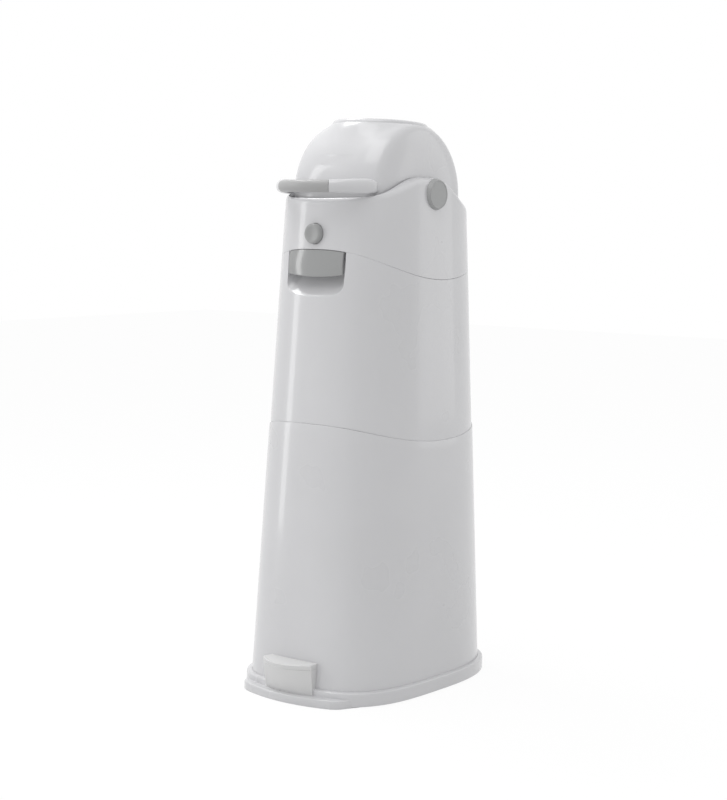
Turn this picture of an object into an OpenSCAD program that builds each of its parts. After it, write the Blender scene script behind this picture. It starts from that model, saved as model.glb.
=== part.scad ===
/* [Body] */
// Full width of the body at the floor
foot_w = 230.6; // [200:0.2:260]
// Full width of the body at the shoulder
shoulder_w = 189.6; // [170:0.2:200]
// Reach of the body in front of its middle, at the floor
foot_front = 153.4; // [148:0.2:158]
// Reach of the body in front of its middle, at the shoulder
shoulder_front = 113; // [112:0.2:120]
// Reach of the body behind its middle, at the floor
foot_rear = 158.8; // [154:0.2:162]
// Reach of the body behind its middle, at the shoulder
shoulder_rear = 135; // [133:0.2:138]
// Height at which the shoulder sizes are taken
shoulder_z = 590; // [580:1:600]
// Squareness of the front corners at the floor, 2 is an ellipse
foot_square = 3.37; // [2.8:0.01:3.6]
// Squareness of the front corners at the shoulder
shoulder_square = 2.7; // [2.5:0.01:2.9]
// Squareness of the rear corners
rear_square = 2.7; // [2.5:0.01:2.9]
// Thickness of the moulded walls
wall = 2.6; // [2.2:0.1:3]

/* [Seams] */
// Lowest height of the seam between the lower and the upper bin
lower_seam_z = 318; // [300:1:330]
// Lowest height of the seam between the bin and the head
head_seam_z = 520; // [515:0.5:522]
// Gap that shows at each seam
seam_gap = 0.8; // [0.6:0.1:1.2]
// How far the lower bin stands proud of the upper one
seam_step = 1.1; // [0.8:0.1:1.4]

/* [Drum] */
// Height of the drum's axis
hub_z = 626.4; // [626:0.1:627]
// Radius of the drum at its middle
drum_r = 95; // [93:0.5:96]
// Width of the drum, along its axis
drum_w = 149; // [146:0.5:149]
// How much less the radius is at the crease where the side faces begin
drum_crown = 11; // [9:0.5:12]
// Distance of that crease from the middle
crease_half = 68.2; // [67:0.2:70]
// Height of each mouth rim above the axis
mouth_h = 91; // [88:0.5:92]
// Outer radius of the mouth rims
mouth_r = 61.4; // [58:0.2:61.6]
// Inner radius of the chamber
chamber_r = 56; // [52:0.5:56]
// Tilt of the drum where its handle comes to rest
rest_tilt = 3.2; // [3:0.1:5]

/* [Handle] */
// Half of the width of the handle's hoop
hoop_half = 67; // [65:0.5:68]
// Distance of the front of the hoop from the axis
hoop_front = 152; // [148:0.5:153]
// Height of the handle above the drum's middle plane
hoop_up = 1.9; // [1.5:0.1:3]
// Height of the handle's bar
bar_h = 15; // [13:0.5:16]
// Depth of the handle's bar, front to back
bar_d = 13; // [12:0.5:15]
// How far the grey grip reaches to each side, as a turn
grip_turn = 33; // [28:1:38]

/* [Head] */
// Height of the head's rim at the front
rim_z = 622; // [620:0.5:623]
// Rise of the head's rim beside the drum
rim_rise = 23.5; // [20:0.5:26]
// Fall of the head's rim at the rear
rim_fall = 14; // [8:0.5:16]
// Radius of the head's rounded rim
rim_round = 9; // [7:0.5:10]
// Diameter of the hub discs
disc_d = 40; // [36:0.5:41]
// Diameter of the release button
button_d = 25; // [22:0.5:26]
// Height of the release button
button_z = 577; // [574:0.5:580]
// Travel of the release button
button_travel = 3.5; // [2.5:0.5:4]

/* [Base] */
// Height of the base ring
ring_top = 18.8; // [16:0.2:20]
// Thickness of the foot plate
plate_h = 11; // [9:0.5:12]
// Height of the top of the foot rest
rest_top = 50; // [46:0.5:54]

/* [Hidden] */

$fn = 96;

// Middle of the body and axis of the drum, front to back
body_y = 9;
hub_y = 18;
drum_half = drum_w / 2;
facets = 72;

white = [0.93, 0.93, 0.94];
grey = [0.64, 0.65, 0.65];
pale = [0.88, 0.88, 0.88];
steel = [0.72, 0.73, 0.75];
rubber = [0.2, 0.2, 0.21];

function lerp(a, b, t) = a + (b - a) * t;
function limit(t) = min(max(t, 0), 1);
function ease(t) = 0.5 - 0.5 * cos(180 * limit(t));
function signed_pow(v, p) = sign(v) * pow(abs(v), p);

// Sizes of the body at a height
function side_at(z) = lerp(foot_w, shoulder_w, z / shoulder_z) / 2;
function front_at(z) = lerp(foot_front, shoulder_front, z / shoulder_z);
function rear_at(z) = lerp(foot_rear, shoulder_rear, z / shoulder_z);
function square_at(z) = lerp(foot_square, shoulder_square, z / shoulder_z);

// A point of the body's skin at a turn, a height and a growth outwards
function skin(turn, z, grow) =
    let (c = cos(turn), s = sin(turn),
         n = s < 0 ? square_at(z) : rear_square,
         reach = s < 0 ? front_at(z) : rear_at(z))
    [(side_at(z) + grow) * signed_pow(c, 2 / n),
     body_y + (reach + grow) * signed_pow(s, 2 / n),
     z];

// The skin's front at a place across the body
function front_y(x, z, grow) =
    let (n = square_at(z), part = abs(x) / (side_at(z) + grow))
    body_y - (front_at(z) + grow) * pow(1 - pow(part, n), 1 / n);

// The skin's side at a place along the body
function side_x(y, z, grow) =
    let (front = y < body_y,
         n = front ? square_at(z) : rear_square,
         reach = (front ? front_at(z) : rear_at(z)) + grow)
    (side_at(z) + grow) * pow(1 - pow(abs(y - body_y) / reach, n), 1 / n);

// Heights of the two wavy seams and of the head's rim
function lower_seam(y) = lower_seam_z + 0.00112 * pow(y - body_y - 20, 2);
function head_seam(y) = head_seam_z + 0.00185 * pow(y - body_y - 27, 2);
rim_middle = 12;
front_crest = [9, 97];
rear_crest = [16, 68];
function head_rim(x, y) =
    let (crest = y < rim_middle ? front_crest : rear_crest)
    rim_z + 2 * pow(limit(abs(x) / 75), 2)
    + rim_rise * (1 - ease((abs(y - rim_middle) - crest[0]) / crest[1]))
    - rim_fall * ease((y - body_y - 60) / 60);

turns = [for (i = [0:facets - 1]) 360 * i / facets];

// Rings of points round the body: level, along a seam, and along the rim
function level_ring(z, grow) = [for (a = turns) skin(a, z, grow)];
function lower_seam_ring(up, grow) =
    [for (a = turns) skin(a, lower_seam(skin(a, lower_seam_z + 15, grow)[1]) + up, grow)];
function head_seam_ring(up, grow) =
    [for (a = turns) skin(a, head_seam(skin(a, head_seam_z + 20, grow)[1]) + up, grow)];
function rim_ring(up, grow) =
    [for (a = turns)
        let (p = skin(a, rim_z, 0))
        skin(a, head_rim(p[0], p[1]) + up, grow)];

// The edge of the opening follows the skin, and runs straight beside the drum
opening_side = 77.8;
rim_wall = 3.2;
function opening_point(turn, up) =
    let (p = skin(turn, rim_z, -rim_wall), q = skin(turn, rim_z, 0))
    [p[0] / pow(1 + pow(abs(p[0]) / opening_side, 24), 1 / 24), p[1], head_rim(q[0], q[1]) + up];
function opening_ring(up) = [for (a = turns) opening_point(a, up)];

// The rim rounds over from the skin to the opening
function rim_bend(rise) =
    [for (a = turns)
        let (p = rim_point(a), q = opening_point(a, 0))
        [lerp(q[0], p[0], cos(rise)), lerp(q[1], p[1], cos(rise)), lerp(p[2], q[2], sin(rise))]];
function rim_point(turn) =
    let (p = skin(turn, rim_z, 0)) skin(turn, head_rim(p[0], p[1]) - rim_round, 0);

// Joins rings into a solid with flat ends
module loft(rings) {
    n = len(rings[0]);
    m = len(rings);
    points = [for (ring = rings) each ring];
    sides = [for (i = [0:m - 2], j = [0:n - 1]) each
        let (a = i * n + j, b = i * n + (j + 1) % n, c = b + n, d = a + n)
        [[a, c, b], [a, d, c]]];
    bottom = [for (j = [0:n - 1]) j];
    top = [for (j = [n - 1:-1:0]) (m - 1) * n + j];
    polyhedron(points, concat(sides, [bottom, top]));
}

// Joins rings into a sleeve, whose last ring meets the first
module sleeve(rings) {
    n = len(rings[0]);
    m = len(rings);
    points = [for (ring = rings) each ring];
    sides = [for (i = [0:m - 1], j = [0:n - 1]) each
        let (k = (i + 1) % m,
             a = i * n + j, b = i * n + (j + 1) % n,
             c = k * n + (j + 1) % n, d = k * n + j)
        [[a, c, b], [a, d, c]]];
    polyhedron(points, sides);
}

// A slab between a front and a back grid of the same size
module slab(front, back) {
    rows = len(front);
    cols = len(front[0]);
    half = rows * cols;
    points = concat([for (row = front) each row], [for (row = back) each row]);
    faces = [for (i = [0:rows - 2], j = [0:cols - 2]) each
        let (a = i * cols + j, b = a + 1, c = b + cols, d = a + cols)
        [[a, c, b], [a, d, c], [a + half, b + half, c + half], [a + half, c + half, d + half]]];
    bottom = [for (j = [0:cols - 2]) each
        [[j, j + 1, j + 1 + half], [j, j + 1 + half, j + half]]];
    last = (rows - 1) * cols;
    top = [for (j = [0:cols - 2]) each
        let (a = last + j) [[a, a + 1 + half, a + 1], [a, a + half, a + 1 + half]]];
    left = [for (i = [0:rows - 2]) each
        let (a = i * cols, d = a + cols) [[a, a + half, d + half], [a, d + half, d]]];
    right = [for (i = [0:rows - 2]) each
        let (a = i * cols + cols - 1, d = a + cols) [[a, d + half, a + half], [a, d, d + half]]];
    polyhedron(points, concat(faces, bottom, top, left, right));
}

// A solid turned about the X axis, from the right half of its outline as [x, radius]
module turned(outline, sides) {
    last = len(outline) - 1;
    rotate([0, 90, 0]) rotate_extrude($fn = sides) polygon(concat(
        [for (p = outline) [p[1], p[0]]],
        [for (i = [last:-1:1]) [outline[i][1], -outline[i][0]]]));
}

module along_x(from, to, r, r2 = undef) {
    translate([from, 0, 0]) rotate([0, 90, 0])
        cylinder(h = to - from, r1 = r, r2 = is_undef(r2) ? r : r2);
}

module along_y(from, to, r) {
    translate([0, from, 0]) rotate([-90, 0, 0]) cylinder(h = to - from, r = r);
}

module at_hub() { translate([0, hub_y, hub_z]) children(); }
module in_drum() { at_hub() rotate([-rest_tilt, 0, 0]) children(); }
module both_sides() {
    children();
    mirror([1, 0, 0]) children();
}

// Base

ring_bottom = 1.5;
tray_under = 6;
tray_floor = 9;

module base_ring() {
    color(white) difference() {
        loft([
            level_ring(tray_under, 0.4), level_ring(ring_bottom, 1.2),
            level_ring(ring_bottom, 4.4), level_ring(4, 5.2),
            level_ring(13, 5.8), level_ring(16.6, 5.5),
            level_ring(18.2, 4.4), level_ring(ring_top, 2.8),
            level_ring(ring_top - 0.5, 0.3), level_ring(tray_floor, 0.3)
        ]);
        plate_tongue(0.2, 20);
        for (x = tongue_screws) translate([x, tongue_screw_y, tray_under - 1])
            cylinder(h = 3, r = 1.5, $fn = 32);
    }
}

tongue_w = 120;
tongue_screws = [-40, 40];
tongue_screw_y = -122;

// The tongue of the foot plate, which runs in under the tray
module plate_tongue(room, ahead) {
    translate([-tongue_w / 2 - room, -150 - ahead, ring_bottom - room])
        cube([tongue_w + 2 * room, 40 + ahead + room, tray_under - ring_bottom - 0.3 + room]);
}

plate_front_y = -165.5;
plate_arc_r = 200;
function plate_outline(inset) =
    let (front = [for (i = [-8:8])
            let (a = i * 20.6 / 8)
            [plate_arc_r * sin(a), plate_front_y + plate_arc_r * (1 - cos(a))]],
         corner = [[74.2, -150.2], [76, -147.6]],
         side = [[84.6, -122]],
         right_side = concat(front, corner, side),
         left_side = [for (p = concat([side[0]], [corner[1], corner[0]])) [-p[0], p[1]]])
    [for (p = concat(right_side, left_side))
        [p[0] * (1 - inset / 80), lerp(p[1], -135, inset / 30)]];
function raised(outline, z) = [for (p = outline) [p[0], p[1], z]];

module foot_plate() {
    color(white) difference() {
        union() {
            difference() {
                loft([
                    raised(plate_outline(1), 0), raised(plate_outline(0), 1),
                    raised(plate_outline(0), plate_h - 2), raised(plate_outline(0.6), plate_h - 0.6),
                    raised(plate_outline(1.6), plate_h)
                ]);
                loft([level_ring(-1, 6), level_ring(plate_h + 1, 6)]);
            }
            plate_tongue(0, 5);
        }
        for (x = tongue_screws) translate([x, tongue_screw_y, 0]) {
            cylinder(h = 10, r = 1.7, $fn = 32);
            cylinder(h = 3.4, r = 3.4, $fn = 32);
        }
    }
}

module base_screws() {
    color(steel) for (x = tongue_screws) translate([x, tongue_screw_y, 0]) {
        translate([0, 0, 1.6]) cylinder(h = 1.8, r = 3.2, $fn = 32);
        translate([0, 0, 1.6]) cylinder(h = 6, r = 1.5, $fn = 32);
    }
}

foot_r = 9;
feet = [[-80, -88], [80, -88], [-80, 118], [80, 118]];
module rubber_feet() {
    color(rubber) for (p = feet) translate([p[0], p[1], 0]) {
        cylinder(h = 2, r1 = foot_r - 0.8, r2 = foot_r);
        translate([0, 0, 2]) cylinder(h = tray_under - 2, r = foot_r);
    }
}

// The foot rest is widest and deepest at its top
rest_half = 39.5;
rest_foot = 11.05;
rest_steps = 20;
function rest_ring(z, inset) =
    let (up = (z - rest_foot) / (rest_top - rest_foot),
         half = lerp(rest_half - 1.4, rest_half, up) - inset,
         middle = lerp(-156.6, -173, up) + inset,
         bulge = lerp(6.5, 18.6, up),
         clear = z < ring_top + 0.6 ? 6 : 0.3,
         front = [for (i = [-rest_steps / 2:rest_steps / 2])
            let (s = sin(180 * i / rest_steps)) [half * s, middle + bulge * s * s]],
         back = [for (i = [rest_steps / 2:-1:-rest_steps / 2])
            let (x = half * sin(180 * i / rest_steps)) [x, front_y(x, z, clear)]])
    raised(concat(front, back), z);

module foot_rest() {
    color(pale) loft([
        rest_ring(rest_foot, 0.8), rest_ring(rest_foot + 1, 0),
        rest_ring(ring_top + 0.5, 0), rest_ring(ring_top + 0.7, 0),
        rest_ring(rest_top - 6.2, 0.6), rest_ring(rest_top - 5.8, 0),
        rest_ring(rest_top - 1.4, 0), rest_ring(rest_top - 0.4, 0.5),
        rest_ring(rest_top, 1.4)
    ]);
}

// Bin

bin_floor = 12.3;
proud = seam_step / 2;

module lower_bin() {
    color(white) loft([
        level_ring(tray_floor + 0.2, -1), level_ring(tray_floor + 1.2, 0),
        level_ring(60, 0), level_ring(180, proud / 2),
        lower_seam_ring(-seam_gap / 2 - 0.6, proud), lower_seam_ring(-seam_gap / 2, proud - 0.5),
        lower_seam_ring(-seam_gap / 2, proud - wall), level_ring(180, -wall),
        level_ring(60, -wall), level_ring(bin_floor, -wall)
    ]);
}

// The scoop under the lip, where fingers reach in
scoop_half = 45.5;
scoop_foot = 500.5;
scoop_corner = 22;
scoop_depth = 20;
scoop_rows = 14;
scoop_cols = 24;
function scoop_bottom(x, wide) =
    scoop_foot - wide
    + scoop_corner * (1 - sqrt(max(1 - pow(x / (scoop_half + wide), 2), 0)));
function scoop_sink(x, z, wide) =
    scoop_depth
    * pow(max(1 - pow(abs(x) / (scoop_half + wide), 6), 0), 1 / 3)
    * (1 - pow(1 - limit((z - scoop_bottom(x, wide)) / 34), 2));
function scoop_grid(out, sink, over, wide) =
    [for (i = [0:scoop_rows])
        [for (j = [0:scoop_cols])
            let (x = (scoop_half + wide) * sin(90 * (2 * j / scoop_cols - 1)),
                 top = head_seam(front_y(x, 556, 0)) - seam_gap / 2 + over,
                 z = lerp(scoop_bottom(x, wide), top, i / scoop_rows))
            [x, front_y(x, z, out) + sink * scoop_sink(x, z, wide), z]]];

// A slab reaches from its front grid back to its rear grid
scoop_rim = 2.4;
module scoop_space() {
    slab(scoop_grid(6, 0, 1, 0), scoop_grid(0.01, 1, 1, 0));
}
module scoop_backing() {
    slab(scoop_grid(-wall / 2, 0, -1.6, scoop_rim), scoop_grid(-wall - 0.2, 1, -1.6, scoop_rim));
}

bag_ring_z = 476;
spigot = 18;
module upper_bin() {
    color(white) difference() {
        union() {
            sleeve([
                lower_seam_ring(seam_gap / 2, -proud), level_ring(450, -proud / 2),
                level_ring(488, 0),
                head_seam_ring(-seam_gap / 2 - 0.5, 0), head_seam_ring(-seam_gap / 2, -0.5),
                head_seam_ring(-seam_gap / 2, -wall), level_ring(450, -wall - proud / 2),
                lower_seam_ring(26, -wall - proud), lower_seam_ring(12, -wall - 2.6),
                lower_seam_ring(-spigot, -wall - 2.6), lower_seam_ring(-spigot, -wall),
                lower_seam_ring(seam_gap / 2, -wall)
            ]);
            scoop_backing();
            for (a = [30:60:330]) bag_ring_rib(a);
        }
        scoop_space();
        for (x = bracket_screws_x) translate([x, 0, bracket_screw_z]) along_y(135, 160, 1.5);
    }
}

// A small rib on the wall that carries the bag ring
module bag_ring_rib(turn) {
    p = skin(turn, bag_ring_z, -wall - 0.5);
    translate([p[0], p[1], bag_ring_z - 8]) rotate([0, 0, atan2(p[1] - body_y, p[0])])
        translate([-7, -2, 0]) cube([8, 4, 8]);
}

module bag_ring() {
    color(grey) sleeve([
        level_ring(bag_ring_z, -wall - 3), level_ring(bag_ring_z + 1.5, -wall - 1.2),
        level_ring(bag_ring_z + 8, -wall - 1.2), level_ring(bag_ring_z + 9, -wall - 2.4),
        level_ring(bag_ring_z + 9, -wall - 15), level_ring(bag_ring_z + 7, -wall - 17),
        level_ring(bag_ring_z - 4, -wall - 17), level_ring(bag_ring_z - 4, -wall - 15),
        level_ring(bag_ring_z, -wall - 13)
    ]);
}

// Rear hinge between the bin and the head

hinge_z = 543;
hinge_y = 153.6;
knuckle_r = 6.5;
pin_r = 2.5;
middle_knuckle = 13;
hinge_half = 30;
bracket_screws_x = [-20, 20];
bracket_screw_z = 522;
leaf_screw_z = 566;

module at_hinge() { translate([0, hinge_y, hinge_z]) children(); }

// A plate of the hinge, from one height to another, held clear of the wall
module hinge_plate(half, from, to, grow) {
    low = body_y + rear_at(from) + grow;
    high = body_y + rear_at(to) + grow;
    rotate([90, 0, 90]) translate([0, 0, -half])
        linear_extrude(2 * half)
            polygon([[low, from], [low + 2.5, from], [high + 2.5, to], [high, to]]);
}

module hinge_bracket() {
    color(white) difference() {
        union() {
            hinge_plate(hinge_half, 514, 541, 0.15);
            for (side = [-1, 1]) at_hinge()
                along_x(min(side * (middle_knuckle + 0.4), side * hinge_half),
                        max(side * (middle_knuckle + 0.4), side * hinge_half), knuckle_r);
            for (side = [-1, 1])
                translate([side < 0 ? -hinge_half : middle_knuckle + 0.4, hinge_y - 6.2, 532])
                    cube([hinge_half - middle_knuckle - 0.4, 8, 9]);
        }
        at_hinge() along_x(-hinge_half - 1, hinge_half + 1, pin_r);
        at_hinge() along_x(-middle_knuckle - 0.4, middle_knuckle + 0.4, knuckle_r + 0.6);
        for (x = bracket_screws_x) translate([x, 0, bracket_screw_z]) along_y(140, 160, 1.7);
    }
}

module hinge_pin() {
    color(steel) at_hinge() along_x(-hinge_half - 1, hinge_half + 1, pin_r);
}

module hinge_leaf() {
    color(white) difference() {
        union() {
            hinge_plate(hinge_half, 551, 574, 0.15);
            at_hinge() along_x(-middle_knuckle, middle_knuckle, knuckle_r);
            translate([-middle_knuckle, hinge_y - 6.4, 545]) cube([2 * middle_knuckle, 7, 8]);
        }
        at_hinge() along_x(-middle_knuckle - 1, middle_knuckle + 1, pin_r + 0.05);
        for (x = bracket_screws_x) translate([x, 0, leaf_screw_z]) along_y(135, 160, 1.7);
    }
}

module wall_screws(z, grow) {
    y = body_y + rear_at(z) + grow;
    color(steel) for (x = bracket_screws_x) translate([x, 0, z]) {
        along_y(y, y + 1.8, 3.2);
        along_y(y - 8, y, 1.5);
    }
}
module bracket_screws() { wall_screws(bracket_screw_z, 2.9); }
module leaf_screws() { wall_screws(leaf_screw_z, 2.9); }

// Latch

lever_half = 9;
pivot_y = -94;
pivot_z = 600;
lever_front = -96.5;
hook_front = -80.6;
strike_z = 543;
pivot_pin_r = 1.5;

// The striker stands behind the scoop's back wall
module latch_strike() {
    color(grey) difference() {
        translate([-lever_half - 3, -86, strike_z - 5]) cube([2 * lever_half + 6, 4.9, 7]);
        slab(scoop_grid(6, 0, 1, scoop_rim), scoop_grid(-wall - 0.4, 1, 1, scoop_rim));
    }
}

module latch_lever() {
    color(grey) difference() {
        union() {
            rotate([90, 0, 90]) translate([0, 0, -lever_half]) linear_extrude(2 * lever_half)
                polygon([
                    [lever_front, pivot_z], [lever_front, 569.5], [hook_front, 555],
                    [hook_front, 541], [hook_front + 2.6, 537.5], [hook_front + 2.6, 552],
                    [hook_front + 0.4, 559.6], [lever_front + 2.6, 572.2], [lever_front + 2.6, pivot_z]
                ]);
            translate([0, pivot_y, pivot_z]) along_x(-lever_half, lever_half, 3.6);
        }
        translate([0, pivot_y, pivot_z]) along_x(-lever_half - 1, lever_half + 1, pivot_pin_r + 0.05);
    }
}

module latch_pin() {
    color(steel) translate([0, pivot_y, pivot_z]) along_x(-lever_half - 4, lever_half + 4, pivot_pin_r);
}

// Head

boss_r = 19.5;
bush_r = 10;
axle_r = 7;
boss_in = 77.3;
ledges = [[83.5, -40], [83.5, 66]];
rim_depth = 11;
ledge_z = 566;
ledge_h = 8;
ledge_in = 3.5;

// Outside each bearing a round recess and a flat seat take the hub disc
disc_seat = 92.7;
module casing_boss() {
    at_hub() along_x(boss_in, side_at(hub_z) - 0.2, boss_r);
}
module casing_recess() {
    at_hub() {
        along_x(disc_seat, 100, disc_d / 2 + 0.2);
        difference() {
            along_x(boss_in + 3, 100, boss_r - 2.4);
            along_x(boss_in, side_at(hub_z) - 2, bush_r + 2.4);
        }
    }
}

module head_casing() {
    color(white) difference() {
        union() {
            sleeve([
                head_seam_ring(seam_gap / 2, -0.5), head_seam_ring(seam_gap / 2 + 0.5, 0),
                level_ring(575, 0), for (rise = [0:18:90]) rim_bend(rise),
                opening_ring(-rim_depth), rim_ring(-rim_depth - 3, -wall), level_ring(575, -wall),
                head_seam_ring(seam_gap / 2, -wall)
            ]);
            both_sides() casing_boss();
            both_sides() for (p = ledges)
                translate([p[0] - ledge_in, p[1] - ledge_in, ledge_z])
                    cube([side_x(p[1], ledge_z + ledge_h, -1.5) - p[0] + ledge_in,
                          2 * ledge_in, ledge_h]);
            for (side = [-1, 1])
                translate([side < 0 ? -lever_half - 4 : lever_half + 0.6, -101.5, pivot_z - 6])
                    cube([3.4, 11, 12]);
        }
        both_sides() {
            casing_recess();
            at_hub() along_x(boss_in - 1, 100, bush_r);
            for (p = ledges) translate([p[0], p[1], ledge_z - 1])
                cylinder(h = 7, r = 1.5, $fn = 32);
        }
        translate([0, 0, button_z]) along_y(-120, -99, button_d / 2 + 0.6);
        translate([0, pivot_y, pivot_z]) along_x(-20, 20, pivot_pin_r);
        for (x = bracket_screws_x) translate([x, 0, leaf_screw_z]) along_y(130, 160, 1.5);
        for (x = lip_screws_x) translate([x, 0, lip_screw_z])
            along_y(lip_screw_y - lip_screw_h - 0.2, -98, 1.5);
    }
}

// The space that the drum sweeps as it turns over, grown by a gap
sweep_gap = 1.1;
sweep_corner = 24;
sweep_middle = [53, 69.5];
sweep_shoulder = [62.8, 91.6];
function sweep_r(x) =
    let (high = mouth_h - rim_edge, wide = mouth_r - rim_edge)
    sqrt(high * high + wide * wide - pow(x * wide / mouth_r, 2)) + rim_edge + sweep_gap;
module swept(grow) {
    turned(concat(
        [for (x = [0:10:60]) [x, sweep_r(x) + grow]],
        [sweep_shoulder + grow * [0.4, 0.9]],
        [for (a = [35:11:90])
            sweep_middle + (sweep_corner + grow) * [sin(a), cos(a)]],
        [[sweep_middle[0] + sweep_corner + grow, 0]]), 96);
}

cradle_wall = 2.5;
cradle_top = 565;
tab_from = 70;
chute_r = 64;
chute_foot = 508;
tab_t = 3.5;

module below(z) {
    intersection() {
        children();
        translate([-150, -150, 400]) cube([300, 350, z - 400]);
    }
}

module drum_cradle() {
    color(white) {
        difference() {
            union() {
                below(cradle_top) at_hub() swept(cradle_wall);
                translate([0, hub_y, chute_foot]) cylinder(h = 34, r = chute_r + cradle_wall);
                both_sides() for (p = ledges) translate([tab_from, p[1] - 5, cradle_top - tab_t])
                    cube([p[0] + 3.4 - tab_from, 10, tab_t]);
            }
            at_hub() swept(0);
            translate([0, hub_y, 480]) cylinder(h = 80, r = chute_r);
            both_sides() for (p = ledges) translate([p[0], p[1], 550])
                cylinder(h = 20, r = 1.7, $fn = 32);
        }
    }
}

module cradle_screws() {
    color(steel) both_sides() for (p = ledges) translate([p[0], p[1], cradle_top - tab_t - 1.8]) {
        cylinder(h = 1.8, r = 3.2, $fn = 32);
        translate([0, 0, 1.8]) cylinder(h = 8, r = 1.5, $fn = 32);
    }
}

// Strips along the cradle's front and rear edges that wipe the drum
wiper_half = 52;
module drum_wipers() {
    color(rubber) difference() {
        intersection() {
            at_hub() swept(cradle_wall);
            translate([-wiper_half, -150, cradle_top + 0.05]) cube([2 * wiper_half, 350, 5]);
        }
        at_hub() swept(-0.4);
    }
}

module left_hub_bush() { mirror([1, 0, 0]) right_hub_bush(); }
module right_hub_bush() {
    color(grey) at_hub() difference() {
        along_x(boss_in + 0.2, 91, bush_r);
        along_x(boss_in - 1, 93, axle_r + 0.05);
    }
}

disc_face = 98.6;
module right_hub_disc() {
    color(grey) at_hub() difference() {
        union() {
            along_x(disc_seat + 0.1, disc_seat + 0.8, disc_d / 2);
            along_x(disc_seat + 0.8, disc_face, disc_d / 2, disc_d / 2 - 2.2);
            along_x(88, disc_seat + 0.2, boss_r - 2.5);
        }
        along_x(87, 92, boss_r - 4.5);
        along_x(disc_face - 0.5, disc_face + 1, disc_d / 2 - 4);
    }
}
module left_hub_disc() { mirror([1, 0, 0]) right_hub_disc(); }

lug_from = 75;
lug_to = 76.9;
lug_half = 4;
lug_end = 19.5;
buffer_r = 3;
buffer_reach = 15.5;
module stop_buffers() {
    drop = lug_half + buffer_r + 0.3;
    color(rubber) at_hub() for (side = [-1, 1])
        rotate([-side * rest_tilt, 0, 0]) translate([0, -side * buffer_reach, -drop])
            along_x(lug_from + 0.2, boss_in, buffer_r);
}

lip_half = 43;
lip_rows = 8;
lip_cols = 20;
lip_foot = 524;
lip_t = 3.6;
lip_screws_x = [-24, 24];
lip_screw_z = 564;
lip_screw_h = 4.2;
lip_screw_y = front_y(27.4, lip_screw_z + 3.4, -wall - 2.8) + 0.1;
function lip_grid(back) =
    [for (i = [0:lip_rows])
        [for (j = [0:lip_cols])
            let (x = lip_half * (2 * j / lip_cols - 1),
                 low = lip_foot + 3 * pow(x / lip_half, 2),
                 high = head_seam(front_y(x, 556, 0)) - 0.2,
                 v = i / lip_rows,
                 z = lerp(low, high, v))
            [x, front_y(x, z, 0.4 + 2 * sin(180 * v)) + back, z]]];

module grip_lip() {
    color(grey) difference() {
        union() {
            slab(lip_grid(0), lip_grid(lip_t));
            slab([for (z = [548, 571]) [for (x = [-34:17:34]) [x, front_y(x, z, -wall - 0.2), z]]],
                 [for (z = [548, 571]) [for (x = [-34:17:34]) [x, front_y(x, z, -wall - 2.8), z]]]);
        }
        for (x = lip_screws_x) translate([x, 0, lip_screw_z]) along_y(-110, -90, 1.7);
        translate([0, 0, button_z]) along_y(-110, -90, 17);
    }
}

module lip_screws() {
    color(steel) for (x = lip_screws_x) translate([x, 0, lip_screw_z]) {
        along_y(lip_screw_y, lip_screw_y + 1.8, 3.2);
        along_y(lip_screw_y - lip_screw_h, lip_screw_y, 1.5);
    }
}

// Release button, its guide and its spring

casing_face = body_y - front_at(button_z);
button_face = casing_face - 7;
guide_front = casing_face + wall + 0.35;
guide_floor = -99;
guide_rear = -97.4;
stem_r = 6;
stem_end = lever_front - 0.3 - button_face;

module button_guide() {
    color(white) difference() {
        intersection() {
            translate([0, 0, button_z]) along_y(guide_front - 2, guide_rear, 16.5);
            loft([level_ring(550, -wall - 0.15), level_ring(600, -wall - 0.15)]);
        }
        translate([0, 0, button_z]) along_y(guide_front - 3, guide_floor, button_d / 2 + 0.8);
        translate([0, 0, button_z]) along_y(guide_floor - 1, guide_rear + 1, stem_r + 0.2);
    }
}

module release_button() {
    r = button_d / 2;
    color(grey) translate([0, button_face, button_z]) rotate([-90, 0, 0]) rotate_extrude()
        polygon(concat(
            [[0, 1.5], [4, 1.3], [7.4, 0.5], [8.6, 0]],
            [for (a = [0:15:90]) [r - 2.6 + 2.6 * sin(a), 2.6 - 2.6 * cos(a)]],
            [[r, guide_floor - 4.2 - button_face], [r - 1.6, guide_floor - 4.2 - button_face],
             [r - 1.6, 3.4], [stem_r, 3.4], [stem_r, stem_end - 1], [0, stem_end]]));
}

spring_r = 8.6;
spring_wire = 0.45;
spring_turns = 4;
spring_steps = 12;
spring_from = button_face + 3.4 + 0.6;
spring_to = guide_floor - 0.6;
function spring_point(step) =
    let (a = 360 * step / spring_steps)
    [spring_r * cos(a),
     lerp(spring_from, spring_to, step / (spring_turns * spring_steps)),
     spring_r * sin(a)];
function spring_ring(step) =
    let (a = 360 * step / spring_steps, middle = spring_point(step))
    [for (k = [0:5])
        middle + spring_wire * [cos(a) * cos(60 * k), sin(60 * k), sin(a) * cos(60 * k)]];
module button_spring() {
    color(steel) translate([0, 0, button_z])
        loft([for (step = [spring_turns * spring_steps:-1:0]) spring_ring(step)]);
}

// Drum

// The barrel has a crowned front and side faces that lean in from a flat middle to the crease
crease_r = drum_r - drum_crown;
side_flat = 30;
function crown(x) = drum_r - drum_crown * pow(abs(x) / crease_half, 3.2);
function side_face(r) =
    let (part = max(r - side_flat, 0) / (crease_r - side_flat))
    drum_half - (drum_half - crease_half) * pow(part, 3.4);
side_radii = [crease_r - 6, 66, 48, side_flat];

// Draws an outline in or out by the same part of its width and of its radius
function grown(outline, grow) =
    [for (p = outline) [p[0] * (1 + grow / drum_half), p[1] * (1 + grow / drum_r)]];
function side_outline(radii) = concat([for (r = radii) [side_face(r), r]], [[drum_half, 0]]);

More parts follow.
